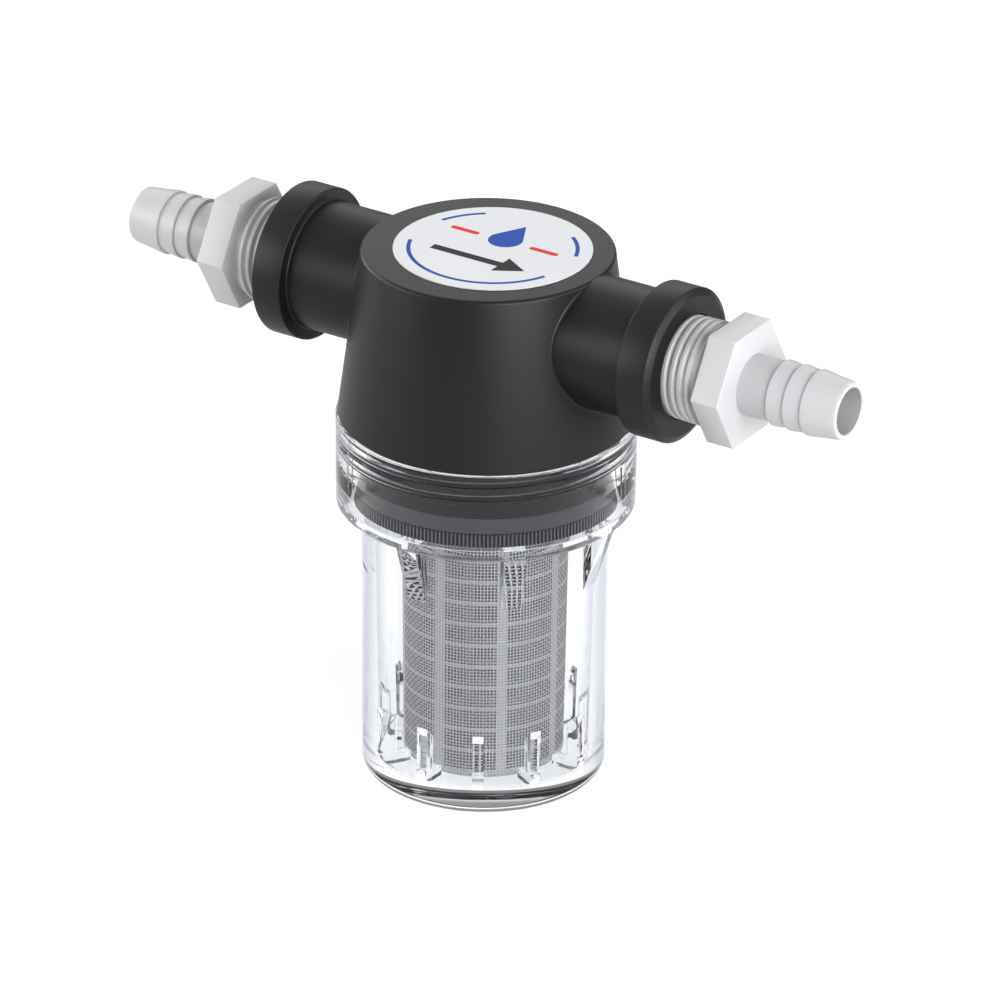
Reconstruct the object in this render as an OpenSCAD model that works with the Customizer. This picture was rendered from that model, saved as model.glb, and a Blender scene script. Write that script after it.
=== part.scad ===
// In-line fresh water strainer: a moulded head with two hose fittings, a clear
// screw-on bowl and a mesh strainer element inside it.
// Origin: centre of the bowl's flat base. +Z up, +X along the ports towards the
// outlet. Millimetres.

/* [Bowl] */
// Outer radius of the bowl wall, just under the collar
bowl_r = 25; // [24.8:0.1:25.2]
// Thickness of the bowl wall
bowl_wall = 3; // [2.6:0.1:3.1]
// Thickness of the bowl's floor
bowl_floor = 4.7; // [4.4:0.1:4.8]
// Radius of the round between the base and the wall
bowl_round = 3.8; // [3:0.1:5]
// Outer radius of the bowl's collar
collar_r = 30.3; // [30.2:0.1:31]
// Height of the collar's lower edge above the base
collar_z0 = 60; // [59.5:0.1:60.3]
// Height of the collar's rim above the base
collar_z1 = 78.9; // [78.7:0.1:79]
// Number of L-shaped ribs that centre the strainer
rib_count = 12; // [8:1:14]
// Width of one L-shaped rib
rib_w = 2.2; // [1.6:0.1:2.6]
// Width of one gusset under the collar
gusset_w = 4.5; // [3:0.5:5]
// Height at which a gusset runs out into the wall
gusset_z = 46.9; // [44:0.1:50]

/* [Bowl thread] */
// Axial distance between turns
pitch = 2.8; // [2.7:0.05:3]
// Facets in one turn of the thread
seg = 30; // [24:2:48]

/* [Head] */
// Height of the head's flat top above the base
head_z1 = 114.65; // [114:0.05:116]
// Radius of the head's body at its top
head_r_top = 25.4; // [25:0.1:26]
// Radius of the head's body at its lower edge
head_r_low = 29.95; // [29.6:0.05:30.1]
// Outer radius of the neck that carries the thread
neck_r = 28; // [27.5:0.1:28]
// Inner radius of the neck
neck_ri = 22; // [21.8:0.1:22.2]
// Outer radius of the outlet spigot inside the head
spigot_r = 13; // [12.5:0.1:13.1]
// Radius of the label disc
label_r = 19.9; // [18:0.1:22]

/* [Ports] */
// Height of the port axis above the base
port_z = 101.25; // [101:0.05:101.5]
// Outer radius of the port tubes
port_r = 13.3; // [13:0.1:13.6]
// Outer radius of the collars at the port ends
port_collar_r = 15.8; // [15.4:0.1:16.2]
// Distance from the middle to a port's end face
port_x = 47; // [46.8:0.1:47.2]
// Length of a port's end collar
port_collar_l = 7.4; // [6:0.1:8]

/* [Hose fittings] */
// Distance across the flats of the hexagon
hex_af = 23; // [22:0.1:24]
// Crest radius of the hose barbs
barb_r = 6.7; // [6.6:0.05:6.9]
// Radius of the plain neck behind the barbs
barb_neck_r = 6.2; // [6:0.05:6.3]
// Radius of the water passage through the barbs
barb_bore_r = 4.75; // [4.5:0.05:5]

/* [Strainer] */
// Outer radius of the mesh sleeve
mesh_r = 16.4; // [16.2:0.05:16.45]
// Thickness of the mesh sleeve
mesh_t = 0.3; // [0.25:0.05:0.4]
// Number of upright bars in the cage
bars = 8; // [6:1:10]
// Width of one upright bar
bar_w = 2; // [1.4:0.1:2.4]
// Distance between the cage's rings
ring_pitch = 4.8; // [4.6:0.1:5]

/* [Hidden] */
$fn = 60;

bowl_ri = bowl_r - bowl_wall;       // inner radius of the bowl
ledge_z = 62;                       // face the seal presses on
neck_z0 = ledge_z + 0.3;            // lower end of the neck
head_z0 = collar_z1 + 0.3;          // lower edge of the head's body
root_r = neck_r + 1.1;              // bore of the collar, behind its thread
male_crest = neck_r + 0.75;
female_crest = neck_r + 0.4;
male_z = 70;                        // start of the neck's thread
male_turns = 2.85;
female_z = male_z + pitch / 2;      // start of the collar's thread, half a pitch on
female_turns = 2.1;
strainer_z0 = bowl_floor + 0.3;     // the element stands just off the floor
strainer_z1 = 71;
cage_r = mesh_r - mesh_t;           // outer radius of the cage
cage_ri = cage_r - 1.5;             // inner radius of the upright bars
spigot_ri = 10.2;
cavity_z = 110.9;                   // roof of the inlet chamber
seal_r = 24.6;                      // middle radius of the O-ring
seal_c = 1.2;                       // radius of the O-ring's section
fit_x0 = 38.2;                      // inner end of a fitting
fit_hex0 = 55.4;                    // hexagon's near face
fit_hex1 = 61.5;                    // hexagon's far face
fit_tip = 83.6;                     // end of the barb
npt_r = 10.67;                      // crest radius of the pipe thread at the hexagon
npt_x = 54.2;                       // where that radius is measured

// Points of an arc, from angle a to angle b in n steps
function arc(cx, cy, r, a, b, n) =
    [for (i = [0:n]) let (t = a + (b - a) * i / n) [cx + r * cos(t), cy + r * sin(t)]];

// Crest radius of the tapered pipe thread at distance x from the middle
function npt(x) = npt_r - (npt_x - x) / 32;

// Fade of a thread over its first and last sixth of a turn, 0 to 1
function fade(i, n, m) = min(1, i / m, (n - i) / m);

// Helical ridge of trapezoid section on radius ra, with its crest on radius rb.
// Right-handed, rising by one pitch a turn.
module ridge(ra, rb, z0, turns, wa, wb) {
    n = floor(turns * seg);
    m = ceil(seg / 6);
    pts = [for (i = [0:n]) let (a = 360 * i / seg, z = z0 + pitch * i / seg,
                                f = 0.12 + 0.88 * fade(i, n, m),
                                rc = ra + (rb - ra) * f)
           each [[ra * cos(a), ra * sin(a), z - wa / 2],
                 [rc * cos(a), rc * sin(a), z - wb / 2],
                 [rc * cos(a), rc * sin(a), z + wb / 2],
                 [ra * cos(a), ra * sin(a), z + wa / 2]]];
    side = [for (i = [0:n - 1], k = [0:3]) let (p = 4 * i + k, q = 4 * i + (k + 1) % 4)
            each [[p, q, q + 4], [p, q + 4, p + 4]]];
    ends = [[0, 2, 1], [0, 3, 2], [4 * n, 4 * n + 1, 4 * n + 2], [4 * n, 4 * n + 2, 4 * n + 3]];
    faces = concat(side, ends);
    polyhedron(pts, rb > ra ? faces : [for (f = faces) [f[2], f[1], f[0]]]);
}

// ---- head -------------------------------------------------------------

module body_shell() {
    rotate_extrude()
    polygon(concat(
        [[0, neck_z0], [neck_r - 0.6, neck_z0], [neck_r - 0.3, neck_z0 + 0.3],
         // plain band where the real neck has its fine ribs
         [neck_r + 0.05, neck_z0 + 0.3], [neck_r + 0.05, neck_z0 + 2.85],
         [neck_r, neck_z0 + 3.1], [neck_r, head_z0], [head_r_low - 0.25, head_z0]],
        arc(head_r_low - 0.25, head_z0 + 0.25, 0.25, -90, 0, 2),
        arc(head_r_top - 0.9, head_z1 - 0.9, 0.9, 7, 90, 4),
        [[0, head_z1]]));
}

// A port tube with its end collar, along +X
module port() {
    x1 = port_x - port_collar_l;
    translate([0, 0, port_z]) rotate([0, 90, 0])
    rotate_extrude()
    polygon(concat(
        [[0, 17], [port_r, 17], [port_r, x1 - 0.5]],
        arc(port_r + 0.5, x1 - 0.5, 0.5, 180, 90, 2),
        arc(port_collar_r - 0.5, x1 + 0.5, 0.5, -90, 0, 2),
        [[port_collar_r, port_x - 0.9],
         [port_collar_r - 1.35, port_x], [0, port_x]]));
}

// Tapered hole for the pipe thread, and the passage behind it, along +X
module port_bore(depth) {
    translate([0, 0, port_z]) rotate([0, 90, 0]) {
        translate([0, 0, 33])
        cylinder(r1 = npt(33) + 0.06, r2 = npt(port_x + 1) + 0.06, h = port_x + 1 - 33);
        translate([0, 0, depth]) cylinder(r = 8, h = 34 - depth);
    }
}

// Ring-shaped inlet chamber round the spigot, open at the neck's foot
module chamber() {
    rotate_extrude()
    polygon(concat(
        [[0, neck_z0 - 1], [neck_ri, neck_z0 - 1], [neck_ri, head_z0]],
        arc(neck_ri - 0.6 - 2, cavity_z - 2, 2, 0, 90, 3),
        [[0, cavity_z]]));
}

module seal_groove() {
    translate([0, 0, neck_z0 - 1])
    difference() {
        cylinder(r = seal_r + 1.35, h = 3.02);
        translate([0, 0, -1]) cylinder(r = seal_r - 1.35, h = 6);
    }
}

module head() {
    color([0.2, 0.2, 0.21])
    difference() {
        union() {
            difference() {
                union() {
                    body_shell();
                    port();
                    mirror([1, 0, 0]) port();
                }
                chamber();
            }
            // spigot that the strainer slides on
            translate([0, 0, neck_z0 + 0.3])
            cylinder(r = spigot_r, h = cavity_z + 1 - neck_z0 - 0.3);
            // tube from the spigot to the outlet port
            translate([0, 0, port_z]) rotate([0, 90, 0]) cylinder(r = 11, h = 24);
            ridge(neck_r - 0.25, male_crest, male_z, male_turns, 1.5, 0.8);
        }
        translate([0, 0, neck_z0 - 1]) cylinder(r = spigot_ri, h = port_z + 6 - neck_z0);
        port_bore(0);
        mirror([1, 0, 0]) port_bore(16);
        seal_groove();
    }
}

module label() {
    color("white")
    translate([0.8, 0.5, head_z1]) cylinder(r = label_r, h = 0.2);
}

// ---- hose fittings ----------------------------------------------------

// One barb: sharp face towards the hexagon, short land, then a taper to the tip
function barb(x, r0, r1, len) = [[r0, x], [barb_r, x], [barb_r, x + 0.7], [r1, x + len]];

module fitting() {
    translate([0, 0, port_z]) rotate([0, 90, 0])
    difference() {
        union() {
            rotate_extrude()
            polygon(concat(
                [[0, fit_x0], [npt(fit_x0) - 1, fit_x0], [npt(fit_x0 + 1), fit_x0 + 1],
                 [npt_r, npt_x], [npt_r - 0.9, npt_x + 0.25], [npt_r - 0.9, fit_hex0 + 1],
                 [barb_neck_r, fit_hex0 + 1]],
                barb(68.4, barb_neck_r, 6.25, 3.8),
                barb(72.25, 6.25, 6.25, 3.8),
                barb(76.1, 6.25, 5.95, 7),
                [[5.55, fit_tip], [0, fit_tip]]));
            translate([0, 0, fit_hex0]) rotate([0, 0, 30])
            cylinder(r = hex_af / 2 / cos(30), h = fit_hex1 - fit_hex0, $fn = 6);
        }
        translate([0, 0, fit_x0 - 1]) cylinder(r = barb_bore_r, h = fit_tip - fit_x0 + 2);
        translate([0, 0, fit_x0 - 1]) cylinder(r = 7.2, h = 15);
        translate([0, 0, fit_x0 + 14]) cylinder(r1 = 7.2, r2 = barb_bore_r, h = 2.6);
    }
}

module inlet_fitting() { color([0.93, 0.93, 0.93]) mirror([1, 0, 0]) fitting(); }

module outlet_fitting() { color([0.93, 0.93, 0.93]) fitting(); }

// ---- seal -------------------------------------------------------------

module bowl_seal() {
    color([0.1, 0.1, 0.1])
    rotate_extrude()
    intersection() {
        translate([seal_r, ledge_z + 1.15]) circle(r = seal_c, $fn = 40);
        translate([seal_r - 3, ledge_z]) square([6, 2.3]);
    }
}

// ---- bowl -------------------------------------------------------------

module bowl_shell() {
    rotate_extrude()
    polygon(concat(
        [[0, 0], [bowl_r - 0.15 - bowl_round, 0]],
        arc(bowl_r - 0.15 - bowl_round, bowl_round, bowl_round, -80, 0, 8),
        [[bowl_r, collar_z0]],
        arc(collar_r - 0.8, collar_z0 + 0.8, 0.8, -90, 0, 3),
        arc(collar_r - 0.3, collar_z1 - 0.3, 0.3, 0, 90, 2),
        [[root_r + 0.3, collar_z1], [root_r, collar_z1 - 0.3], [root_r, ledge_z],
         [bowl_ri, ledge_z],
         [bowl_ri - 0.15, bowl_floor + 1.2]],
        arc(bowl_ri - 1.35, bowl_floor + 1.2, 1.2, -15, -90, 3),
        [[0, bowl_floor]]));
}

// L-shaped rib on the wall and the floor, with a slanted top and a step beside the strainer
module bowl_rib() {
    rotate([90, 0, 0])
    linear_extrude(rib_w, center = true)
    polygon(concat(
        [[16.8, bowl_floor - 0.3], [bowl_ri + 0.3, bowl_floor - 0.3], [bowl_ri + 0.3, 17.77]],
        arc(19.9, 14.8, 0.4, 135, 180, 2),
        [[19.5, 6.8], [16.8, 6.8]]));
}

// Gusset that carries the collar, running out into the wall
module gusset() {
    rotate([90, 0, 0])
    linear_extrude(gusset_w, center = true)
    polygon([[bowl_r - 0.6, gusset_z], [bowl_r - 0.05, gusset_z], [29.4, collar_z0 + 0.1],
             [bowl_r - 0.6, collar_z0 + 0.1]]);
}

module bowl() {
    color([0.85, 0.9, 0.95, 0.4])
    union() {
        difference() {
            bowl_shell();
            // shallow flats on the two sides without gussets
            for (a = [45, -135]) rotate([0, 0, a])
                translate([bowl_r - 0.25, -5, gusset_z - 0.6])
                cube([2, 10, collar_z0 - gusset_z + 0.6]);
        }
        for (i = [0:rib_count - 1]) rotate([0, 0, 360 * i / rib_count]) bowl_rib();
        for (a = [0, -45, -90, 90, 135, 180]) rotate([0, 0, a]) gusset();
        ridge(root_r + 0.25, female_crest, female_z, female_turns, 1.5, 0.8);
    }
}

// ---- strainer element -------------------------------------------------

module strainer_cage() {
    color([0.9, 0.9, 0.88])
    union() {
        // base cap
        translate([0, 0, strainer_z0]) cylinder(r = cage_r, h = 1.4);
        translate([0, 0, strainer_z0])
        difference() {
            cylinder(r = cage_r, h = 2.8);
            translate([0, 0, -1]) cylinder(r = cage_ri, h = 5);
        }
        // rings
        for (k = [0:10])
            translate([0, 0, 10.6 + k * ring_pitch])
            difference() {
                cylinder(r = cage_r, h = 1.2);
                translate([0, 0, -1]) cylinder(r = cage_ri + 0.4, h = 4);
            }
        // upright bars
        for (i = [0:bars - 1]) rotate([0, 0, 360 * i / bars])
            intersection() {
                translate([cage_ri, -bar_w / 2, strainer_z0 + 0.5])
                cube([2, bar_w, strainer_z1 - 8 - strainer_z0]);
                cylinder(r = cage_r - 0.01, h = 80);
            }
        // top ring that slides on the spigot
        translate([0, 0, strainer_z1 - 8])
        difference() {
            cylinder(r = cage_r, h = 8);
            translate([0, 0, -1]) cylinder(r = spigot_r + 0.2, h = 10);
        }
    }
}

module strainer_mesh() {
    color([0.7, 0.7, 0.72])
    translate([0, 0, strainer_z0])
    difference() {
        cylinder(r = mesh_r, h = strainer_z1 - strainer_z0);
        translate([0, 0, -1]) cylinder(r = cage_r, h = strainer_z1 - strainer_z0 + 2);
    }
}

head();
label();
inlet_fitting();
outlet_fitting();
bowl_seal();
bowl();
strainer_cage();
strainer_mesh();
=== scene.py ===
import math

import bmesh
import bpy
import numpy as np
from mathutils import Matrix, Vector


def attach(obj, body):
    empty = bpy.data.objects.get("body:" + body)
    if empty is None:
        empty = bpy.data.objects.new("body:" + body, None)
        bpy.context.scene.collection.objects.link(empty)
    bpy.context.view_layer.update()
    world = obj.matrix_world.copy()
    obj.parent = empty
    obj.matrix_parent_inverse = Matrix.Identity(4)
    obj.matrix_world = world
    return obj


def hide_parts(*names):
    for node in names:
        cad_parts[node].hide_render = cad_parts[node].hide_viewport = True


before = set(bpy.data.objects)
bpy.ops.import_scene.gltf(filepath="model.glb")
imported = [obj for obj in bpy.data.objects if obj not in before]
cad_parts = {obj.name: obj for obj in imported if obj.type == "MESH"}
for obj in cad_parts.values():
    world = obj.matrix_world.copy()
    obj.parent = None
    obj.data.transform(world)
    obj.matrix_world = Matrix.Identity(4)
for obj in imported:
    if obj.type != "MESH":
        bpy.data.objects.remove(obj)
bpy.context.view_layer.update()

# Everything below is worked out in millimetres and scaled to metres at the end.
MM = 0.001
ROOT, STRAINER, BOWL = "head_body", "strainer_body", "bowl_body"

# ---- dimensions, the same as the solid model's ------------------------------

BOWL_R, BOWL_RI, FLOOR_Z, BASE_ROUND = 25.0, 22.0, 4.7, 2.4
COLLAR_R, COLLAR_Z0, COLLAR_Z1 = 30.3, 60.0, 78.9
LEDGE_Z, CREST_R, ROOT_R = 62.0, 28.4, 29.1
GUSSET_Z, GUSSET_W = 46.9, 4.5
PITCH = 2.8
NECK_Z0, NECK_R, NECK_RI = 62.3, 28.0, 22.0
HEAD_Z0, HEAD_Z1 = 79.2, 114.65
HEAD_R_LOW, HEAD_R_TOP = 29.95, 25.4
CAVITY_Z = 110.9
SPIGOT_R, SPIGOT_RI = 13.0, 10.2
PORT_Z, PORT_R, PORT_COLLAR_R = 101.25, 13.3, 15.8
PORT_X0, PORT_X = 39.6, 47.0
MESH_R, MESH_T = 16.4, 0.3
CAGE_R, CAGE_RI = 16.1, 14.6
STRAINER_Z0, STRAINER_Z1 = 5.0, 71.0
NPT_R, NPT_X, NPT_PITCH = 10.67, 54.2, 25.4 / 14
HEX_X0, HEX_X1, HEX_AF = 55.4, 61.5, 23.0


def npt(x):
    """Crest radius of the tapered pipe thread at distance x from the middle."""
    return NPT_R - (NPT_X - x) / 32


# ---- making meshes -------------------------------------------------------------

def arc(cx, cy, r, a, b, n):
    return [(cx + r * math.cos(math.radians(a + (b - a) * i / n)),
             cy + r * math.sin(math.radians(a + (b - a) * i / n))) for i in range(n + 1)]


def along_x(points, side):
    """Points turned about the Z axis, laid along a port: side is 1 towards +X, -1 towards -X."""
    p = np.asarray(points, float)
    return np.stack([side * p[:, 2], p[:, 0], PORT_Z + p[:, 1]], axis=1)


def solid(name, verts, faces):
    """A mesh object from points in millimetres, with its faces turned outwards."""
    me = bpy.data.meshes.new(name)
    me.from_pydata([tuple(map(float, v)) for v in verts], [], faces)
    bm = bmesh.new()
    bm.from_mesh(me)
    bmesh.ops.recalc_face_normals(bm, faces=bm.faces)
    bm.to_mesh(me)
    bm.free()
    ob = bpy.data.objects.new(name, me)
    bpy.context.scene.collection.objects.link(ob)
    return ob


def lathe_data(profile, segs):
    """A closed (r, z) profile turned about Z. Points on the axis become one vertex."""
    verts, rings, faces = [], [], []
    turn = [(math.cos(2 * math.pi * i / segs), math.sin(2 * math.pi * i / segs)) for i in range(segs)]
    for r, z in profile:
        if r < 1e-6:
            rings.append([len(verts)])
            verts.append((0.0, 0.0, z))
        else:
            rings.append(list(range(len(verts), len(verts) + segs)))
            verts += [(r * c, r * s, z) for c, s in turn]
    for i in range(len(profile)):
        a, b = rings[i], rings[(i + 1) % len(profile)]
        if len(a) == 1 and len(b) == 1:
            continue
        for k in range(segs):
            n = (k + 1) % segs
            if len(a) == 1:
                faces.append((a[0], b[k], b[n]))
            elif len(b) == 1:
                faces.append((a[k], b[0], a[n]))
            else:
                faces.append((a[k], b[k], b[n], a[n]))
    return verts, faces


def lathe(name, profile, segs=192, side=0):
    """The turned solid, standing on Z, or along a port where side is 1 or -1."""
    verts, faces = lathe_data(profile, segs)
    return solid(name, along_x(verts, side) if side else verts, faces)


def prism(name, outline, place, bevel=0.0, segments=2):
    """A flat outline made solid. place(u, v, w) puts a point of the outline, w is 0 or 1."""
    n = len(outline)
    verts = [place(u, v, 0) for u, v in outline] + [place(u, v, 1) for u, v in outline]
    faces = [tuple(range(n - 1, -1, -1)), tuple(range(n, 2 * n))]
    faces += [(i, (i + 1) % n, n + (i + 1) % n, n + i) for i in range(n)]
    ob = solid(name, verts, faces)
    if bevel:
        bm = bmesh.new()
        bm.from_mesh(ob.data)
        edges = [e for e in bm.edges if e.calc_face_angle(0) > math.radians(25)]
        bmesh.ops.bevel(bm, geom=edges, offset=bevel, offset_type="OFFSET", segments=segments,
                        profile=0.5, affect="EDGES", clamp_overlap=True)
        bm.to_mesh(ob.data)
        bm.free()
    return ob


def combine(base, tools, operation):
    """base joined with, or cut by, the tools. The tools are used up."""
    for t in tools:
        m = base.modifiers.new("combine", "BOOLEAN")
        m.operation = operation
        m.solver = "MANIFOLD"
        m.object = t
    dg = bpy.context.evaluated_depsgraph_get()
    me = bpy.data.meshes.new_from_object(base.evaluated_get(dg), depsgraph=dg)
    base.modifiers.clear()
    old, base.data = base.data, me
    bpy.data.meshes.remove(old)
    for t in tools:
        data = t.data
        bpy.data.objects.remove(t)
        bpy.data.meshes.remove(data)
    return base


def join(name, objects):
    """Separate closed shells as one object."""
    bm = bmesh.new()
    for o in objects:
        bm.from_mesh(o.data)
    me = bpy.data.meshes.new(name)
    bm.to_mesh(me)
    bm.free()
    for o in objects:
        data = o.data
        bpy.data.objects.remove(o)
        bpy.data.meshes.remove(data)
    ob = bpy.data.objects.new(name, me)
    bpy.context.scene.collection.objects.link(ob)
    return ob


def profile_normals(profile, limit=32.0):
    """Per edge of a closed profile: its ends, its outward normal, and the smoothed normal at each end."""
    p = np.asarray(profile, float)
    q = np.roll(p, -1, axis=0)
    d = q - p
    length = np.linalg.norm(d, axis=1)
    ok = length > 1e-6
    p, q, d, length = p[ok], q[ok], d[ok], length[ok]
    area = 0.5 * np.sum(p[:, 0] * q[:, 1] - q[:, 0] * p[:, 1])
    n = np.stack([d[:, 1], -d[:, 0]], axis=1) / length[:, None] * (1 if area > 0 else -1)
    before, after = np.roll(n, 1, axis=0), np.roll(n, -1, axis=0)
    soft0 = (np.sum(n * before, axis=1) > math.cos(math.radians(limit)))[:, None]
    soft1 = (np.sum(n * after, axis=1) > math.cos(math.radians(limit)))[:, None]
    n0 = np.where(soft0, n + before, n)
    n1 = np.where(soft1, n + after, n)
    n0 /= np.linalg.norm(n0, axis=1)[:, None]
    n1 /= np.linalg.norm(n1, axis=1)[:, None]
    return p, q, n, n0, n1


def smooth(ob, surfaces=(), angle=32.0):
    """Smooth shading up to angle. Faces that lie on a turned surface take that surface's true normals,
    which long cut faces would otherwise lose. surfaces holds (profile, side)."""
    me = ob.data
    me.polygons.foreach_set("use_smooth", [True] * len(me.polygons))
    me.set_sharp_from_angle(angle=math.radians(angle))
    if not surfaces:
        return ob
    nl, nf = len(me.loops), len(me.polygons)
    co = np.empty(len(me.vertices) * 3)
    me.vertices.foreach_get("co", co)
    co = co.reshape(-1, 3)
    lv = np.empty(nl, int)
    me.loops.foreach_get("vertex_index", lv)
    start, total = np.empty(nf, int), np.empty(nf, int)
    me.polygons.foreach_get("loop_start", start)
    me.polygons.foreach_get("loop_total", total)
    fn, fc = np.empty(nf * 3), np.empty(nf * 3)
    me.polygons.foreach_get("normal", fn)
    me.polygons.foreach_get("center", fc)
    fn, fc = fn.reshape(-1, 3), fc.reshape(-1, 3)
    cn = np.empty(nl * 3)
    me.corner_normals.foreach_get("vector", cn)
    cn = cn.reshape(-1, 3)
    face_of = np.repeat(np.arange(nf), total)  # loops are stored face by face
    taken = np.zeros(nf, bool)

    def local(v, side, direction):
        if not side:
            return v
        z = v[:, 2] - (0 if direction else PORT_Z)
        return np.stack([v[:, 1], z, side * v[:, 0]], axis=1)

    for profile, side in surfaces:
        p, q, n, n0, n1 = profile_normals(profile)
        c, m = local(fc, side, False), local(fn, side, True)
        r = np.hypot(c[:, 0], c[:, 1])
        safe = np.maximum(r, 1e-9)
        mr = (m[:, 0] * c[:, 0] + m[:, 1] * c[:, 1]) / safe
        here = np.stack([r, c[:, 2]], axis=1)
        best = np.full(nf, 0.06)
        edge = np.full(nf, -1)
        for k in range(len(p)):
            d = q[k] - p[k]
            L2 = d @ d
            t = np.clip(((here - p[k]) @ d) / L2, 0, 1)
            dist = np.hypot(*(here - p[k] - t[:, None] * d).T)
            agree = mr * n[k, 0] + m[:, 2] * n[k, 1]
            better = (dist < best) & (agree > 0.985)
            best[better] = dist[better]
            edge[better] = k
        hit = (edge >= 0) & ~taken
        taken |= hit
        loops = np.nonzero(hit[face_of])[0]
        if not len(loops):
            continue
        k = edge[face_of[loops]]
        v = local(co[lv[loops]], side, False)
        vr = np.hypot(v[:, 0], v[:, 1])
        away = np.maximum(vr, 1e-9)
        d = q[k] - p[k]
        t = np.clip(np.sum((np.stack([vr, v[:, 2]], axis=1) - p[k]) * d, axis=1) / np.sum(d * d, axis=1), 0, 1)
        w = n0[k] * (1 - t)[:, None] + n1[k] * t[:, None]
        w /= np.linalg.norm(w, axis=1)[:, None]
        out = np.stack([w[:, 0] * v[:, 0] / away, w[:, 0] * v[:, 1] / away, w[:, 1]], axis=1)
        if side:
            out = np.stack([side * out[:, 2], out[:, 0], out[:, 1]], axis=1)
        cn[loops] = out
    me.normals_split_custom_set(cn.tolist())
    return ob


def place(ob, body, nodes, material, slot):
    """Scales a finished piece to metres, gives it its body and its finish, and hides the CAD nodes it stands in for."""
    me = ob.data
    co = np.empty(len(me.vertices) * 3)
    me.vertices.foreach_get("co", co)
    me.vertices.foreach_set("co", co * MM)
    me.update()
    me.materials.clear()
    me.materials.append(material)
    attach(ob, body)
    if nodes:
        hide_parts(*nodes)
    return ob


def ridge(name, ra, rb, z0, turns, wa, wb, seg=96):
    """Right-handed thread ridge with a rounded crest that fades at both ends."""
    n, m = int(turns * seg), seg // 6
    section = [(0.0, -wa / 2), (0.86, -wb / 2 - 0.03), (0.97, -wb / 2 + 0.07), (1.0, -wb / 2 + 0.22),
               (1.0, wb / 2 - 0.22), (0.97, wb / 2 - 0.07), (0.86, wb / 2 + 0.03), (0.0, wa / 2)]
    s = len(section)
    verts, faces = [], []
    for i in range(n + 1):
        a = 2 * math.pi * i / seg
        f = 0.12 + 0.88 * min(1.0, i / m, (n - i) / m)
        for h, w in section:
            r = ra + (rb - ra) * f * h
            verts.append((r * math.cos(a), r * math.sin(a), z0 + PITCH * i / seg + w))
    for i in range(n):
        for k in range(s):
            p, q = i * s + k, i * s + (k + 1) % s
            faces.append((p, q, q + s, p + s))
    faces.append(tuple(range(s)))
    faces.append(tuple(n * s + k for k in reversed(range(s))))
    return solid(name, verts, faces)


# ---- materials -----------------------------------------------------------------

def new_material(name):
    m = bpy.data.materials.new(name)
    m.use_nodes = True
    nodes = m.node_tree.nodes
    return m, nodes, m.node_tree.links, nodes["Principled BSDF"]


def noise(nodes, links, scale, detail=2.0, coords="Object", stretch=None):
    tc = nodes.new("ShaderNodeTexCoord")
    t = nodes.new("ShaderNodeTexNoise")
    t.inputs["Scale"].default_value = scale
    t.inputs["Detail"].default_value = detail
    if stretch:
        mp = nodes.new("ShaderNodeMapping")
        mp.inputs["Scale"].default_value = stretch
        links.new(tc.outputs[coords], mp.inputs["Vector"])
        links.new(mp.outputs["Vector"], t.inputs["Vector"])
    else:
        links.new(tc.outputs[coords], t.inputs["Vector"])
    return t


def span(nodes, links, source, lo, hi, a=0.0, b=1.0):
    mr = nodes.new("ShaderNodeMapRange")
    mr.inputs["From Min"].default_value = a
    mr.inputs["From Max"].default_value = b
    mr.inputs["To Min"].default_value = lo
    mr.inputs["To Max"].default_value = hi
    links.new(source, mr.inputs["Value"])
    return mr.outputs["Result"]


def mixed(nodes, links, factor, c0, c1):
    mx = nodes.new("ShaderNodeMix")
    mx.data_type = "RGBA"
    mx.inputs["A"].default_value = (*c0, 1)
    mx.inputs["B"].default_value = (*c1, 1)
    links.new(factor, mx.inputs["Factor"])
    return mx.outputs["Result"]


def moulded(name, dark, light, rough, spread, grain, ior, bump):
    """Moulded plastic: a slight unevenness of colour and gloss, and a fine grain."""
    m, nodes, links, b = new_material(name)
    blotch = noise(nodes, links, 45.0, 3.0)
    links.new(mixed(nodes, links, blotch.outputs["Fac"], dark, light), b.inputs["Base Color"])
    fine = noise(nodes, links, grain, 2.0)
    links.new(span(nodes, links, fine.outputs["Fac"], rough - spread, rough + spread), b.inputs["Roughness"])
    b.inputs["IOR"].default_value = ior
    bp = nodes.new("ShaderNodeBump")
    bp.inputs["Strength"].default_value = bump
    bp.inputs["Distance"].default_value = 0.00002
    links.new(fine.outputs["Fac"], bp.inputs["Height"])
    links.new(bp.outputs["Normal"], b.inputs["Normal"])
    return m


black_plastic = moulded("black_plastic", (0.0112, 0.0117, 0.0137), (0.0132, 0.0137, 0.0157),
                        0.42, 0.03, 9000.0, 1.42, 0.25)
neck_plastic = moulded("black_plastic_neck", (0.0115, 0.0118, 0.0128), (0.0135, 0.0138, 0.0148),
                       0.36, 0.03, 9000.0, 1.3, 0.0)
# painted highlight: a lighter copy of the black plastic for the crests of the neck's fine ribs
crest_highlight_plastic = moulded("black_plastic_crest_highlight", (0.075, 0.077, 0.082), (0.10, 0.102, 0.108),
                         0.4, 0.03, 9000.0, 1.4, 0.1)
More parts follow.
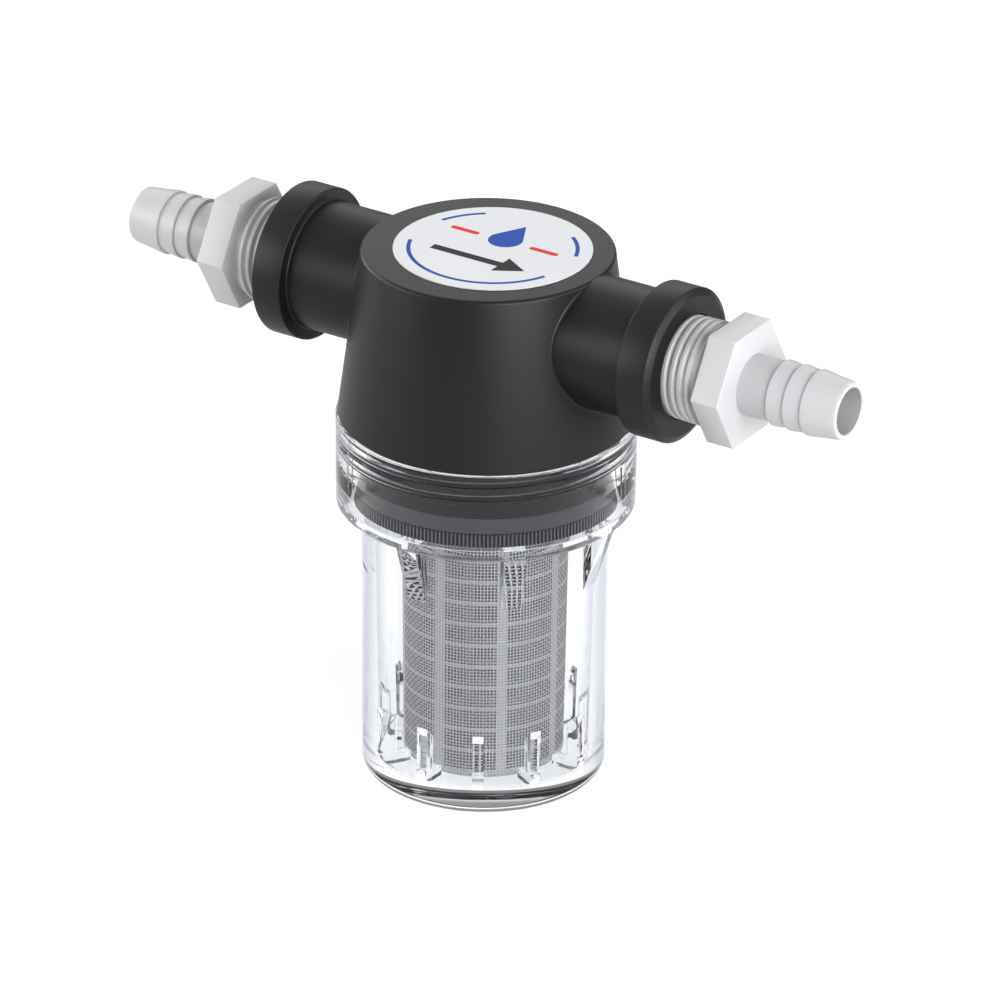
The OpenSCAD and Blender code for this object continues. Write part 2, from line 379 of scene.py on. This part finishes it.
# painted sheen: a lighter copy of the black plastic for the outer faces of the neck's flange
flange_sheen_plastic = moulded("black_plastic_flange_sheen", (0.040, 0.041, 0.045), (0.048, 0.049, 0.053),
                         0.38, 0.03, 9000.0, 1.4, 0.0)
white_plastic = moulded("white_plastic", (0.395, 0.399, 0.409), (0.42, 0.424, 0.432),
                        0.38, 0.03, 7000.0, 1.45, 0.15)
white_plastic.node_tree.nodes["Principled BSDF"].inputs["Subsurface Weight"].default_value = 0.12
white_plastic.node_tree.nodes["Principled BSDF"].inputs["Subsurface Radius"].default_value = (0.001, 0.001, 0.001)
white_plastic.node_tree.nodes["Principled BSDF"].inputs["Subsurface Scale"].default_value = 1.0
cage_plastic = moulded("cage_plastic", (0.70, 0.70, 0.69), (0.76, 0.76, 0.75),
                       0.45, 0.04, 6000.0, 1.45, 0.2)
# painted shade: a darkened copy of the cage's plastic, for the wire faces in front of its rings, bars and base cap
cage_shade_fill = moulded("cage_plastic_shaded_in_mesh", (0.25, 0.25, 0.25), (0.31, 0.31, 0.31),
                    0.5, 0.04, 6000.0, 1.4, 0.2)
seal_rubber = moulded("seal_rubber", (0.012, 0.012, 0.012), (0.02, 0.02, 0.02),
                      0.6, 0.05, 6000.0, 1.45, 0.3)


def clear_plastic_material():
    m, nodes, links, b = new_material("clear_plastic")
    # the faint blue is the plastic's own tint; towards grazing angles the colour turns deep blue-gray, painted shade
    # along the edges of the wall
    edge = nodes.new("ShaderNodeLayerWeight")
    edge.inputs["Blend"].default_value = 0.5
    edge_shade = nodes.new("ShaderNodeMapRange")
    edge_shade.interpolation_type = "SMOOTHSTEP"
    edge_shade.inputs["From Min"].default_value = 0.48
    edge_shade.inputs["From Max"].default_value = 0.92
    links.new(edge.outputs["Facing"], edge_shade.inputs["Value"])
    links.new(mixed(nodes, links, edge_shade.outputs["Result"], (0.972, 0.98, 0.99), (0.20, 0.25, 0.36)),
              b.inputs["Base Color"])
    b.inputs["Transmission Weight"].default_value = 1.0
    b.inputs["IOR"].default_value = 1.49
    b.inputs["Specular Tint"].default_value = (0.52, 0.52, 0.54, 1)
    fine = noise(nodes, links, 160.0, 2.0)
    links.new(span(nodes, links, fine.outputs["Fac"], 0.0, 0.012, 0.45, 0.75), b.inputs["Roughness"])
    return m


def wire_material(name, dark, light):
    m, nodes, links, b = new_material(name)
    b.inputs["Metallic"].default_value = 0.85
    fine = noise(nodes, links, 900.0, 2.0)
    links.new(mixed(nodes, links, fine.outputs["Fac"], dark, light), b.inputs["Base Color"])
    links.new(span(nodes, links, fine.outputs["Fac"], 0.34, 0.46), b.inputs["Roughness"])
    return m


clear_plastic = clear_plastic_material()
steel_mesh = wire_material("steel_mesh", (0.40, 0.405, 0.415), (0.50, 0.505, 0.515))
# painted shade: near-black steel for the wire faces that turn into the weave
steel_painted_shade = wire_material("steel_mesh_painted_shade", (0.022, 0.022, 0.024), (0.036, 0.036, 0.039))

# ---- head ------------------------------------------------------------------------

slope = (HEAD_R_LOW - HEAD_R_TOP) / (HEAD_Z1 - HEAD_Z0)
lean = math.degrees(math.atan(slope))


def cone_r(z):
    return HEAD_R_LOW - (z - HEAD_Z0) * slope


EDGE = 0.8
edge_c = cone_r(HEAD_Z1 - EDGE + EDGE * math.sin(math.radians(lean))) - EDGE * math.cos(math.radians(lean))
low_c = cone_r(HEAD_Z0 + 0.3) - 0.3
body_profile = ([(0, NECK_Z0), (NECK_R - 0.6, NECK_Z0), (NECK_R - 0.35, NECK_Z0 + 0.3), (NECK_R - 0.35, NECK_Z0 + 3.0),
                 (NECK_R - 0.35, NECK_Z0 + 3.1), (NECK_R + 0.15, NECK_Z0 + 3.25), (NECK_R + 0.25, NECK_Z0 + 3.4),
                 (NECK_R + 0.25, NECK_Z0 + 4.0), (NECK_R + 0.03, NECK_Z0 + 6.4), (NECK_R, NECK_Z0 + 6.5), (NECK_R, HEAD_Z0)]
                + arc(low_c, HEAD_Z0 + 0.3, 0.3, -90, lean, 5)
                + arc(edge_c, HEAD_Z1 - EDGE, EDGE, lean, 90, 9)
                + [(0, HEAD_Z1)])
port_profile = ([(0, 17), (PORT_R, 17), (PORT_R, PORT_X0 - 0.5)]
                + arc(PORT_R + 0.5, PORT_X0 - 0.5, 0.5, 180, 90, 6)[1:]
                + arc(PORT_COLLAR_R - 0.35, PORT_X0 + 0.35, 0.35, -90, 0, 5)
                + arc(PORT_COLLAR_R - 0.2, PORT_X - 1.0, 0.2, 0, 54, 3)
                + arc(PORT_COLLAR_R - 1.5, PORT_X - 0.15, 0.15, 54, 90, 3)
                + [(0, PORT_X)])
chamber_profile = [(0, 60.0), (NECK_RI, 60.0), (NECK_RI, HEAD_Z0)] \
    + arc(NECK_RI - 2.6, CAVITY_Z - 2, 2, 0, 90, 6) + [(0, CAVITY_Z)]
spigot_profile = [(0, NECK_Z0 + 0.3), (SPIGOT_R - 0.6, NECK_Z0 + 0.3), (SPIGOT_R, NECK_Z0 + 0.9),
                  (SPIGOT_R, CAVITY_Z + 1), (0, CAVITY_Z + 1)]
spigot_bore = [(0, 60.0), (SPIGOT_RI, 60.0), (SPIGOT_RI, PORT_Z + 5), (0, PORT_Z + 5)]
cross_tube = [(0, 0), (11, 0), (11, 24), (0, 24)]
groove_profile = [(23.25, 60.0), (25.95, 60.0), (25.95, NECK_Z0 + 2), (23.25, NECK_Z0 + 2)]


def port_bore(depth):
    return [(0, depth), (8, depth), (8, 33), (npt(33) + 0.06, 33), (npt(PORT_X - 0.3) + 0.06, PORT_X - 0.3),
            (npt(PORT_X) + 0.3, PORT_X + 0.02), (npt(PORT_X) + 0.3, PORT_X + 2), (0, PORT_X + 2)]


def port_fillet(name, side, rho=0.8, steps=150):
    """The round where a port leaves the tapered body, as a ball rolling along the joint leaves it."""
    cg, sg = math.cos(math.radians(lean)), math.sin(math.radians(lean))
    first, last = -254.0, 74.0
    sections = []
    for i in range(steps + 1):
        phi = math.radians(first + (last - first) * i / steps)
        s, c = math.sin(phi), math.cos(phi)
        r = rho
        if s > sg + 0.05:
            r = min(rho, (HEAD_Z1 - 0.7 - PORT_Z - PORT_R * s) / (s - sg))
        r = max(r, 0.03)
        y, z = (PORT_R + r) * c, PORT_Z + (PORT_R + r) * s
        rc = cone_r(z) + r / cg
        x = math.sqrt(rc * rc - y * y)
        centre = np.array([x, y, z])
        to_cone = -np.array([x / rc * cg, y / rc * cg, sg])
        to_tube = -np.array([0, c, s])
        w = math.acos(max(-1, min(1, float(to_cone @ to_tube))))
        pts = []
        for j in range(11):
            t = -0.05 + 1.1 * j / 10
            d = (math.sin((1 - t) * w) * to_cone + math.sin(t * w) * to_tube) / math.sin(w)
            pts.append(centre + r * d)
        inner = to_cone + to_tube
        pts.append(centre + inner * (r + 0.5))
        sections.append(pts)
    n = len(sections[0])
    verts = [(side * p[0], p[1], p[2]) for sec in sections for p in sec]
    faces = []
    for i in range(steps):
        for k in range(n):
            a, b = i * n + k, i * n + (k + 1) % n
            faces.append((a, b, b + n, a + n))
    faces.append(tuple(range(n)))
    faces.append(tuple(steps * n + k for k in reversed(range(n))))
    return solid(name, verts, faces)


def serrated_foot():
    """Fine upright ribs round the foot of the neck."""
    count, z0, z1 = 220, NECK_Z0 + 0.12, NECK_Z0 + 3.15
    ring = []
    for i in range(count):
        for f, r in ((0.0, NECK_R - 0.3), (0.3, NECK_R - 0.3), (0.46, NECK_R + 0.05), (0.84, NECK_R + 0.05)):
            a = 2 * math.pi * (i + f) / count
            ring.append((r, a))
    n = len(ring)
    levels = [(z0, -0.18), (z0 + 0.18, 0.0), (z1 - 0.25, 0.0), (z1, -0.25)]
    verts = []
    for z, back in levels:
        for r, a in ring:
            rr = min(r, NECK_R + 0.05 + back)
            verts.append((rr * math.cos(a), rr * math.sin(a), z))
    verts += [(0, 0, z0), (0, 0, z1)]
    faces = []
    for j in range(len(levels) - 1):
        for k in range(n):
            a, b = j * n + k, j * n + (k + 1) % n
            faces.append((a, b, b + n, a + n))
    top = (len(levels) - 1) * n
    for k in range(n):
        faces.append((len(verts) - 2, (k + 1) % n, k))
        faces.append((len(verts) - 1, top + k, top + (k + 1) % n))
    return solid("foot", verts, faces)


def make_head():
    body = lathe("head_moulding", body_profile, 256)
    ports = [lathe("port", port_profile, 160, s) for s in (1, -1)]
    fillets = [port_fillet("fillet", s) for s in (1, -1)]
    thread = ridge("thread", NECK_R - 0.25, NECK_R + 0.75, 70.0, 2.85, 1.5, 0.8)
    combine(body, ports, "UNION")
    combine(body, fillets, "UNION")
    combine(body, [serrated_foot(), thread], "UNION")
    room = lathe("room", chamber_profile, 128)
    combine(room, [lathe("spigot", spigot_profile, 96), lathe("tube", cross_tube, 96, 1)], "DIFFERENCE")
    combine(body, [room], "DIFFERENCE")
    cuts = [lathe("bore", spigot_bore, 96), lathe("groove", groove_profile, 128),
            lathe("bore_out", port_bore(0), 96, 1), lathe("bore_in", port_bore(16), 96, -1)]
    combine(body, cuts, "DIFFERENCE")
    smooth(body, [(body_profile, 0), (port_profile, 1), (port_profile, -1)])
    place(body, ROOT, ["head"], black_plastic, "black_plastic")
    # the neck is duller than the body; the crests of its fine ribs get a painted highlight and the flange's outer faces
    # a painted sheen, both lighter copies of the black plastic
    me = body.data
    me.materials.append(neck_plastic)
    me.materials.append(crest_highlight_plastic)
    n = len(me.polygons)
    nrm, mid = np.empty(n * 3), np.empty(n * 3)
    me.polygons.foreach_get("normal", nrm)
    me.polygons.foreach_get("center", mid)
    nrm, mid = nrm.reshape(-1, 3), mid.reshape(-1, 3) / MM
    r = np.hypot(mid[:, 0], mid[:, 1])
    outward = (nrm[:, 0] * mid[:, 0] + nrm[:, 1] * mid[:, 1]) / np.maximum(r, 1e-6)
    crest = (outward > 0.985) & (r > NECK_R - 0.02) & (mid[:, 2] < NECK_Z0 + 3.1) & (mid[:, 2] > NECK_Z0)
    flange = (outward > 0.5) & (r > NECK_R + 0.01) & (mid[:, 2] > NECK_Z0 + 3.15) & (mid[:, 2] < NECK_Z0 + 6.45)
    index = np.where(crest | flange, np.where(crest, 2, 3), np.where(mid[:, 2] < HEAD_Z0 - 0.02, 1, 0))
    # painted sheen on the flange's outer faces
    me.materials.append(flange_sheen_plastic)
    me.polygons.foreach_set("material_index", index.astype(np.int32))
    return body


head = make_head()

# ---- hose fittings -----------------------------------------------------------------

def barb(x, foot, nxt, length, crest=6.7):
    """One barb: a sharp face towards the hexagon, a short land and a taper to the next one."""
    return [(foot, x), (crest - 0.07, x), (crest, x + 0.07), (crest, x + 0.62), (crest - 0.03, x + 0.8),
            (nxt, x + length)]


barb_profile = ([(0, 57.0), (6.2 + 0.35, 57.0), (6.2 + 0.35, HEX_X1 - 0.01), (6.2 + 0.1, HEX_X1 + 0.1),
                 (6.2, HEX_X1 + 0.35)]
                + barb(68.43, 6.2, 6.24, 3.77) + barb(72.2, 6.24, 6.24, 3.93)
                + barb(76.13, 6.24, 6.02, 4.4)[:5]
                + [(6.22, 79.9), (5.93, 82.9), (5.86, 83.2)] + arc(5.5, 83.3, 0.3, 30, 90, 4) + [(0, 83.6)])
bore_profile = [(0, 36.0), (7.2, 36.0), (7.2, 52.2), (4.75, 54.8), (4.75, 83.45), (4.95, 83.62), (4.95, 86.0),
                (0, 86.0)]


def npt_sleeve(name, side, segs=128):
    """The tapered pipe thread, its end and its plain run-out, as one turned sheet with a helical groove."""
    first, end, depth = 44.6, 54.25, 0.65
    rows = [(npt(38.2) - 1.0, 38.2), (npt(39.2), 39.2)]
    xs = list(np.arange(first, end, NPT_PITCH / 24))
    tail = [(9.85, 54.75), (9.75, 55.0), (9.8, 55.3), (10.4, HEX_X0 + 0.02), (10.4, 57.0)]
    verts = []

    def ring(r_of, x):
        for k in range(segs):
            a = 2 * math.pi * k / segs
            r = r_of(a)
            verts.append((r * math.cos(a), r * math.sin(a), x))

    for r, x in rows:
        ring(lambda a, r=r: r, x)
    for x in xs:
        fade = max(0.0, min(1.0, (x - first) / 0.4))
        out = max(0.0, min(1.0, (end - x) / 0.9))

        def radius(a, x=x, fade=fade, out=out):
            u = ((x - first) / NPT_PITCH - side * a / (2 * math.pi)) % 1.0
            # wide crest, straight flanks, narrow rounded root
            d = abs(u - 0.5)
            h = min(1.0, max(0.0, (0.30 - d) / 0.26))
            h = 1 - (1 - h) ** 1.0 if h < 0.86 else 0.86 + 0.14 * (1 - (1 - (h - 0.86) / 0.14) ** 2) * 0.6
            crest = npt(x)
            return (crest - depth * h * fade) * out + (9.85 if crest > 9.85 else crest) * (1 - out)
        ring(radius, x)
    for r, x in tail:
        ring(lambda a, r=r: r, x)
    n_rows = len(rows) + len(xs) + len(tail)
    a0, a1 = len(verts), len(verts) + 1
    verts += [(0, 0, 38.2), (0, 0, 57.0)]
    faces = []
    for j in range(n_rows - 1):
        for k in range(segs):
            a, b = j * segs + k, j * segs + (k + 1) % segs
            faces.append((a, b, b + segs, a + segs))
    top = (n_rows - 1) * segs
    for k in range(segs):
        faces.append((a0, (k + 1) % segs, k))
        faces.append((a1, top + k, top + (k + 1) % segs))
    return solid(name, along_x(verts, side), faces)


def make_fitting(name, side, node):
    hexagon = [(HEX_AF / 2 / math.cos(math.pi / 6) * math.cos(math.radians(a)),
                HEX_AF / 2 / math.cos(math.pi / 6) * math.sin(math.radians(a))) for a in range(0, 360, 60)]
    nut = prism(name, hexagon,
                lambda u, v, w: (side * (HEX_X0 + w * (HEX_X1 - HEX_X0)), u, PORT_Z + v), 0.22, 3)
    combine(nut, [npt_sleeve("sleeve", side), lathe("stem", barb_profile, 128, side)], "UNION")
    combine(nut, [lathe("passage", bore_profile, 96, side)], "DIFFERENCE")
    smooth(nut, [(barb_profile, side)], 40.0)
    return place(nut, ROOT, [node], white_plastic, "white_plastic")


outlet = make_fitting("outlet_hose_fitting", 1, "outlet_fitting")
inlet = make_fitting("inlet_hose_fitting", -1, "inlet_fitting")

# ---- bowl --------------------------------------------------------------------------

FOOT_C = BOWL_R - 0.15 - BASE_ROUND
bowl_profile = ([(0, 0)] + arc(FOOT_C, BASE_ROUND, BASE_ROUND, -90, 0, 14)
                + [(BOWL_R - 0.02, COLLAR_Z0 - 0.35), (BOWL_R + 0.09, COLLAR_Z0 - 0.1), (BOWL_R + 0.35, COLLAR_Z0)]
                + arc(COLLAR_R - 0.8, COLLAR_Z0 + 0.8, 0.8, -90, 0, 7)
                + arc(COLLAR_R - 0.3, COLLAR_Z1 - 0.3, 0.3, 0, 90, 5)
                + [(ROOT_R + 0.3, COLLAR_Z1), (ROOT_R + 0.08, COLLAR_Z1 - 0.1), (ROOT_R, COLLAR_Z1 - 0.35),
                   (ROOT_R, LEDGE_Z + 0.4)]
                + arc(ROOT_R - 0.4, LEDGE_Z + 0.4, 0.4, 0, -90, 5)[1:]
                + [(BOWL_RI + 0.25, LEDGE_Z), (BOWL_RI + 0.06, LEDGE_Z - 0.08), (BOWL_RI, LEDGE_Z - 0.3)]
                + arc(BOWL_RI - 1.35, FLOOR_Z + 1.2, 1.2, 0, -90, 7) + [(0, FLOOR_Z)])


def turned(a):
    c, s = math.cos(math.radians(a)), math.sin(math.radians(a))

    def put(r, t, z):
        return (r * c - t * s, r * s + t * c, z)
    return put


def bowl_rib(a):
    """L-shaped rib on the wall and the floor, with a slanted top and a step beside the strainer."""
    outline = ([(16.8, FLOOR_Z - 0.3), (BOWL_RI + 0.3, FLOOR_Z - 0.3), (BOWL_RI + 0.3, 17.77)]
               + arc(19.9, 14.8, 0.4, 135, 180, 3) + [(19.5, 6.8), (16.8, 6.8)])
    put = turned(a)
    return prism("rib", outline, lambda u, v, w: put(u, (w - 0.5) * 2.2, v), 0.08, 2)


def gusset(a):
    outline = [(BOWL_R - 0.6, GUSSET_Z), (BOWL_R - 0.05, GUSSET_Z), (29.4, COLLAR_Z0 + 0.1),
               (BOWL_R - 0.6, COLLAR_Z0 + 0.1)]
    put = turned(a)
    return prism("gusset", outline, lambda u, v, w: put(u, (w - 0.5) * GUSSET_W, v), 0.12, 2)


def flat_cut(a):
    put = turned(a)
    outline = [(BOWL_R - 0.25, -5), (BOWL_R + 2, -5), (BOWL_R + 2, 5), (BOWL_R - 0.25, 5)]
    return prism("flat", outline, lambda u, v, w: put(u, v, GUSSET_Z - 0.6 + w * (COLLAR_Z0 - GUSSET_Z + 0.6)))


def make_bowl():
    bowl = lathe("clear_bowl", bowl_profile, 256)
    combine(bowl, [flat_cut(a) for a in (45, -135)], "DIFFERENCE")
    thread = ridge("thread", ROOT_R + 0.25, CREST_R, 71.4, 2.1, 1.5, 0.8)
    combine(bowl, [bowl_rib(30 * i) for i in range(12)]
            + [gusset(a) for a in (0, -45, -90, 90, 135, 180)] + [thread], "UNION")
    smooth(bowl, [(bowl_profile, 0)])
    return place(bowl, BOWL, ["bowl"], clear_plastic, "clear_plastic")


bowl = make_bowl()
bowl.visible_shadow = False  # light passes through the clear wall

# ---- strainer ------------------------------------------------------------------------

WIRE_W, WIRE_T, WARPS, WEFTS = 0.28, 0.1, 156, 96


def wires(name, upright):
    """One set of the woven wires. Each goes over and under the other set."""
    mid, wave = MESH_R - WIRE_T, 0.05
    section = [(0.8, 0.5), (-0.8, 0.94), (-0.8, -0.94), (0.8, -0.5)]
    z0, z1 = STRAINER_Z0 + 0.25, STRAINER_Z1 - 0.25
    dz = (z1 - z0) / (WEFTS - 1)
    verts, faces = [], []
    if upright:
        for i in range(WARPS):
            a = 2 * math.pi * i / WARPS
            c, s = math.cos(a), math.sin(a)
            base = len(verts)
            for j in range(WEFTS):
                r = mid + (wave if (i + j) % 2 else -wave) - wave
                for u, v in section:
                    rr, t = r + WIRE_T * u, WIRE_W * v
                    verts.append((rr * c - t * s, rr * s + t * c, z0 + dz * j))
            for j in range(WEFTS - 1):
                for k in range(4):
                    p, q = base + 4 * j + k, base + 4 * j + (k + 1) % 4
                    faces.append((p, q, q + 4, p + 4))
            faces.append(tuple(base + k for k in (3, 2, 1, 0)))
            faces.append(tuple(base + 4 * (WEFTS - 1) + k for k in range(4)))
    else:
        for j in range(WEFTS):
            base = len(verts)
            for i in range(WARPS):
                a = 2 * math.pi * i / WARPS
                r = mid + (-wave if (i + j) % 2 else wave) - wave
                for u, v in section:
                    rr = r + WIRE_T * u
                    verts.append((rr * math.cos(a), rr * math.sin(a), z0 + dz * j + WIRE_W * v))
            for i in range(WARPS):
                n = (i + 1) % WARPS
                for k in range(4):
                    faces.append((base + 4 * i + k, base + 4 * i + (k + 1) % 4,
                                  base + 4 * n + (k + 1) % 4, base + 4 * n + k))
    return smooth(solid(name, verts, faces), (), 100.0)


warp = place(wires("mesh_warp", True), STRAINER, ["strainer_mesh"], steel_mesh, "steel_mesh")
weft = place(wires("mesh_weft", False), STRAINER, ["strainer_mesh"], steel_mesh, "steel_mesh")
for ob in (warp, weft):
    # painted shade: the wire faces that turn inwards get a near-black steel, and in front of the cage's rings, bars and
    # base cap a darkened copy of the cage's plastic
    me = ob.data
    me.materials.append(steel_painted_shade)
    me.materials.append(cage_shade_fill)
    n = len(me.polygons)
    nrm, mid = np.empty(n * 3), np.empty(n * 3)
    me.polygons.foreach_get("normal", nrm)
    me.polygons.foreach_get("center", mid)
    nrm, mid = nrm.reshape(-1, 3), mid.reshape(-1, 3) / MM
    outward = (nrm[:, 0] * mid[:, 0] + nrm[:, 1] * mid[:, 1]) / np.hypot(mid[:, 0], mid[:, 1])
    turn = np.degrees(np.arctan2(mid[:, 1], mid[:, 0])) % 45.0
    at_bar = np.minimum(turn, 45.0 - turn) < math.degrees(1.0 / MESH_R)
    at_ring = (abs((mid[:, 2] - 10.6) % 4.8 - 0.6) < 0.36) | (mid[:, 2] < STRAINER_Z0 + 1.7) | (mid[:, 2] > STRAINER_Z1 - 8)
    index = np.where(outward > 0.85, 0, np.where((at_bar | at_ring) & (outward > -0.5), 2, 1))
    me.polygons.foreach_set("material_index", index.astype(np.int32))

# ---- CAD pieces that are shown as they are ---------------------------------------------

def paint(node, material):
    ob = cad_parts[node]
    ob.data.materials.clear()
    ob.data.materials.append(material)
    for s in ob.material_slots:
        s.material = material


paint("strainer_cage", cage_plastic)
paint("bowl_seal", seal_rubber)

label_film = moulded("label_film", (0.50, 0.505, 0.52), (0.53, 0.535, 0.55), 0.5, 0.03, 5000.0, 1.45, 0.05)
paint("label", label_film)

LABEL_X, LABEL_Y, LABEL_Z = 0.8, 0.5, 114.65 + 0.2


def ink(name, color, outlines):
    """Print on the label: flat closed shapes, a hundredth of a millimetre thick."""
    m = moulded(name, color, tuple(c * 1.12 for c in color), 0.6, 0.03, 5000.0, 1.3, 0.05)
    parts = [prism("ink", o, lambda u, v, w: (LABEL_X + u, LABEL_Y + v, LABEL_Z - 0.002 + 0.014 * w)) for o in outlines]
    return place(smooth(join(name, parts)), ROOT, [], m, "label_film")


def bar(x0, x1, y, w):
    return arc(x1 - w / 2, y, w / 2, -90, 90, 8) + arc(x0 + w / 2, y, w / 2, 90, 270, 8)


def ring_piece(r0, r1, a, b, n=48):
    return arc(0, 0, r1, a, b, n) + arc(0, 0, r0, b, a, n)


def drop(cx, cy, r, tall):
    """A water drop: a round foot drawn up to a point."""
    a = math.degrees(math.asin(r / tall))
    return arc(cx, cy, r, 180 - a, 360 + a, 40) + [(cx, cy + tall)]


# generic: a drop between two arcs, and an arrow along the way the water runs
ink("label_blue", (0.025, 0.075, 0.30), [drop(0, 4.6, 3.5, 7.6)])
ink("label_arcs", (0.025, 0.075, 0.30), [ring_piece(16.4, 17.2, 200, 340), ring_piece(16.4, 17.2, 20, 52),
                                         ring_piece(16.4, 17.2, 128, 160)])
ink("label_red", (0.50, 0.045, 0.025), [bar(-12.6, -6.0, 4.2, 1.3), bar(6.0, 12.6, 4.2, 1.3)])
ink("label_dark", (0.03, 0.03, 0.033), [[(-10.5, -6.9), (5.5, -6.9), (5.5, -9.3), (11.2, -5.9), (5.5, -2.5), (5.5, -4.9),
                                         (-10.5, -4.9)]])

# ---- floor, light and camera -----------------------------------------------------------

CAM_AZ = 32.63


def stage_floor():
    bm = bmesh.new()
    bmesh.ops.create_circle(bm, cap_ends=True, segments=96, radius=6.0)
    me = bpy.data.meshes.new("floor")
    bm.to_mesh(me)
    bm.free()
    ob = bpy.data.objects.new("floor", me)
    ob.location.z = -0.0002
    bpy.context.scene.collection.objects.link(ob)
    m, nodes, links, b = new_material("floor_white")
    # a painted pool of light: the floor glows, bright round the object and dimmer further out
    tc = nodes.new("ShaderNodeTexCoord")
    mp = nodes.new("ShaderNodeVectorMath")
    mp.operation = "SUBTRACT"
    mp.inputs[1].default_value = (-0.10 * math.sin(math.radians(CAM_AZ)), 0.10 * math.cos(math.radians(CAM_AZ)), 0)
    links.new(tc.outputs["Object"], mp.inputs[0])
    far = nodes.new("ShaderNodeVectorMath")
    far.operation = "LENGTH"
    links.new(mp.outputs["Vector"], far.inputs[0])
    fade = nodes.new("ShaderNodeMapRange")
    fade.interpolation_type = "SMOOTHSTEP"
    fade.inputs["From Min"].default_value = 0.30
    fade.inputs["From Max"].default_value = 0.95
    links.new(far.outputs["Value"], fade.inputs["Value"])
    links.new(mixed(nodes, links, fade.outputs["Result"], (0.38, 0.38, 0.38), (0.2, 0.2, 0.2)), b.inputs["Base Color"])
    b.inputs["Emission Color"].default_value = (1.0, 1.0, 1.0, 1)
    links.new(span(nodes, links, fade.outputs["Result"], 0.49, 0.08), b.inputs["Emission Strength"])
    b.inputs["Roughness"].default_value = 0.9
    b.inputs["Specular IOR Level"].default_value = 0.0
    me.materials.append(m)
    return ob


floor = stage_floor()


def make_world(horizon, zenith, start, end):
    """Soft white surroundings: dim up to the height start, bright overhead from the height end."""
    world = bpy.data.worlds.new("studio")
    bpy.context.scene.world = world
    world.use_nodes = True
    nodes, links = world.node_tree.nodes, world.node_tree.links
    tc = nodes.new("ShaderNodeTexCoord")
    sep = nodes.new("ShaderNodeSeparateXYZ")
    links.new(tc.outputs["Generated"], sep.inputs["Vector"])
    nodes["Background"].inputs["Color"].default_value = (1.0, 1.0, 1.0, 1)
    mr = nodes.new("ShaderNodeMapRange")
    mr.interpolation_type = "SMOOTHSTEP"
    for key, value in (("From Min", start), ("From Max", end), ("To Min", horizon), ("To Max", zenith)):
        mr.inputs[key].default_value = value
    links.new(sep.outputs["Z"], mr.inputs["Value"])
    links.new(mr.outputs["Result"], nodes["Background"].inputs["Strength"])


def softbox(name, turn, low, high, distance, width, radiance, color=(1, 1, 1)):
    """A soft panel that faces the object. turn is its azimuth to the right of the camera's,
    low and high are the heights of its edges at that distance."""
    a = math.radians(CAM_AZ + turn)
    out = Vector((math.sin(a), -math.cos(a), 0))
    foot, head_ = out * distance + Vector((0, 0, low)), out * distance + Vector((0, 0, high))
    centre = (foot + head_) / 2
    size = (head_ - foot).length
    light = bpy.data.lights.new(name, "AREA")
    light.shape = "RECTANGLE"
    light.size, light.size_y = width, size
    light.energy = radiance * math.pi * width * size
    light.color = color
    ob = bpy.data.objects.new(name, light)
    ob.location = centre
    ob.rotation_euler = (Vector((0, 0, 0.07)) - Vector((centre.x, centre.y, centre.z))).to_track_quat("-Z", "Y").to_euler()
    ob.visible_camera = False
    ob.visible_transmission = False
    bpy.context.scene.collection.objects.link(ob)
    return ob


make_world(0.34, 0.95, 0.42, 0.85)
softbox("key_right", 31, 0.02, 0.85, 1.3, 1.15, 9.5)
softbox("side_right", 86, 0.02, 0.85, 1.4, 0.9, 4.0)
softbox("edge_left", -128, 0.02, 0.9, 1.4, 0.9, 4.6)
softbox("side_left", -82, 0.02, 0.85, 1.4, 1.2, 4.6)
softbox("back_high", 178, 0.35, 1.4, 1.5, 2.0, 1.6)


def camera():
    az, el, roll = math.radians(CAM_AZ), math.radians(26.267), math.radians(0.606)
    dist, focal, tx, tz = 1486.9, 7372.9, 2.869, 59.11
    back = Vector((math.sin(az) * math.cos(el), -math.cos(az) * math.cos(el), math.sin(el)))
    right = Vector((math.cos(az), math.sin(az), 0))
    up = back.cross(right)
    R = right * math.cos(roll) + up * math.sin(roll)
    U = -right * math.sin(roll) + up * math.cos(roll)
    at = Vector((tx * math.cos(az), tx * math.sin(az), tz)) + back * dist
    cam = bpy.data.cameras.new("camera")
    cam.sensor_width = 36.0
    cam.lens = focal * 36.0 / 1000.0
    cam.clip_start, cam.clip_end = 0.05, 50.0
    ob = bpy.data.objects.new("camera", cam)
    bpy.context.scene.collection.objects.link(ob)
    m = ob.matrix_world.copy()
    for i in range(3):
        m[i][0], m[i][1], m[i][2], m[i][3] = R[i], U[i], back[i], at[i] * MM
    ob.matrix_world = m
    bpy.context.scene.camera = ob


camera()
# light goes to and fro in the clear bowl's thick base and ribs
light_paths = bpy.context.scene.cycles
light_paths.max_bounces = 32
light_paths.glossy_bounces = 24
light_paths.transmission_bounces = 24
bpy.context.scene.view_settings.view_transform = "Standard"
bpy.context.scene.view_settings.gamma = 0.8
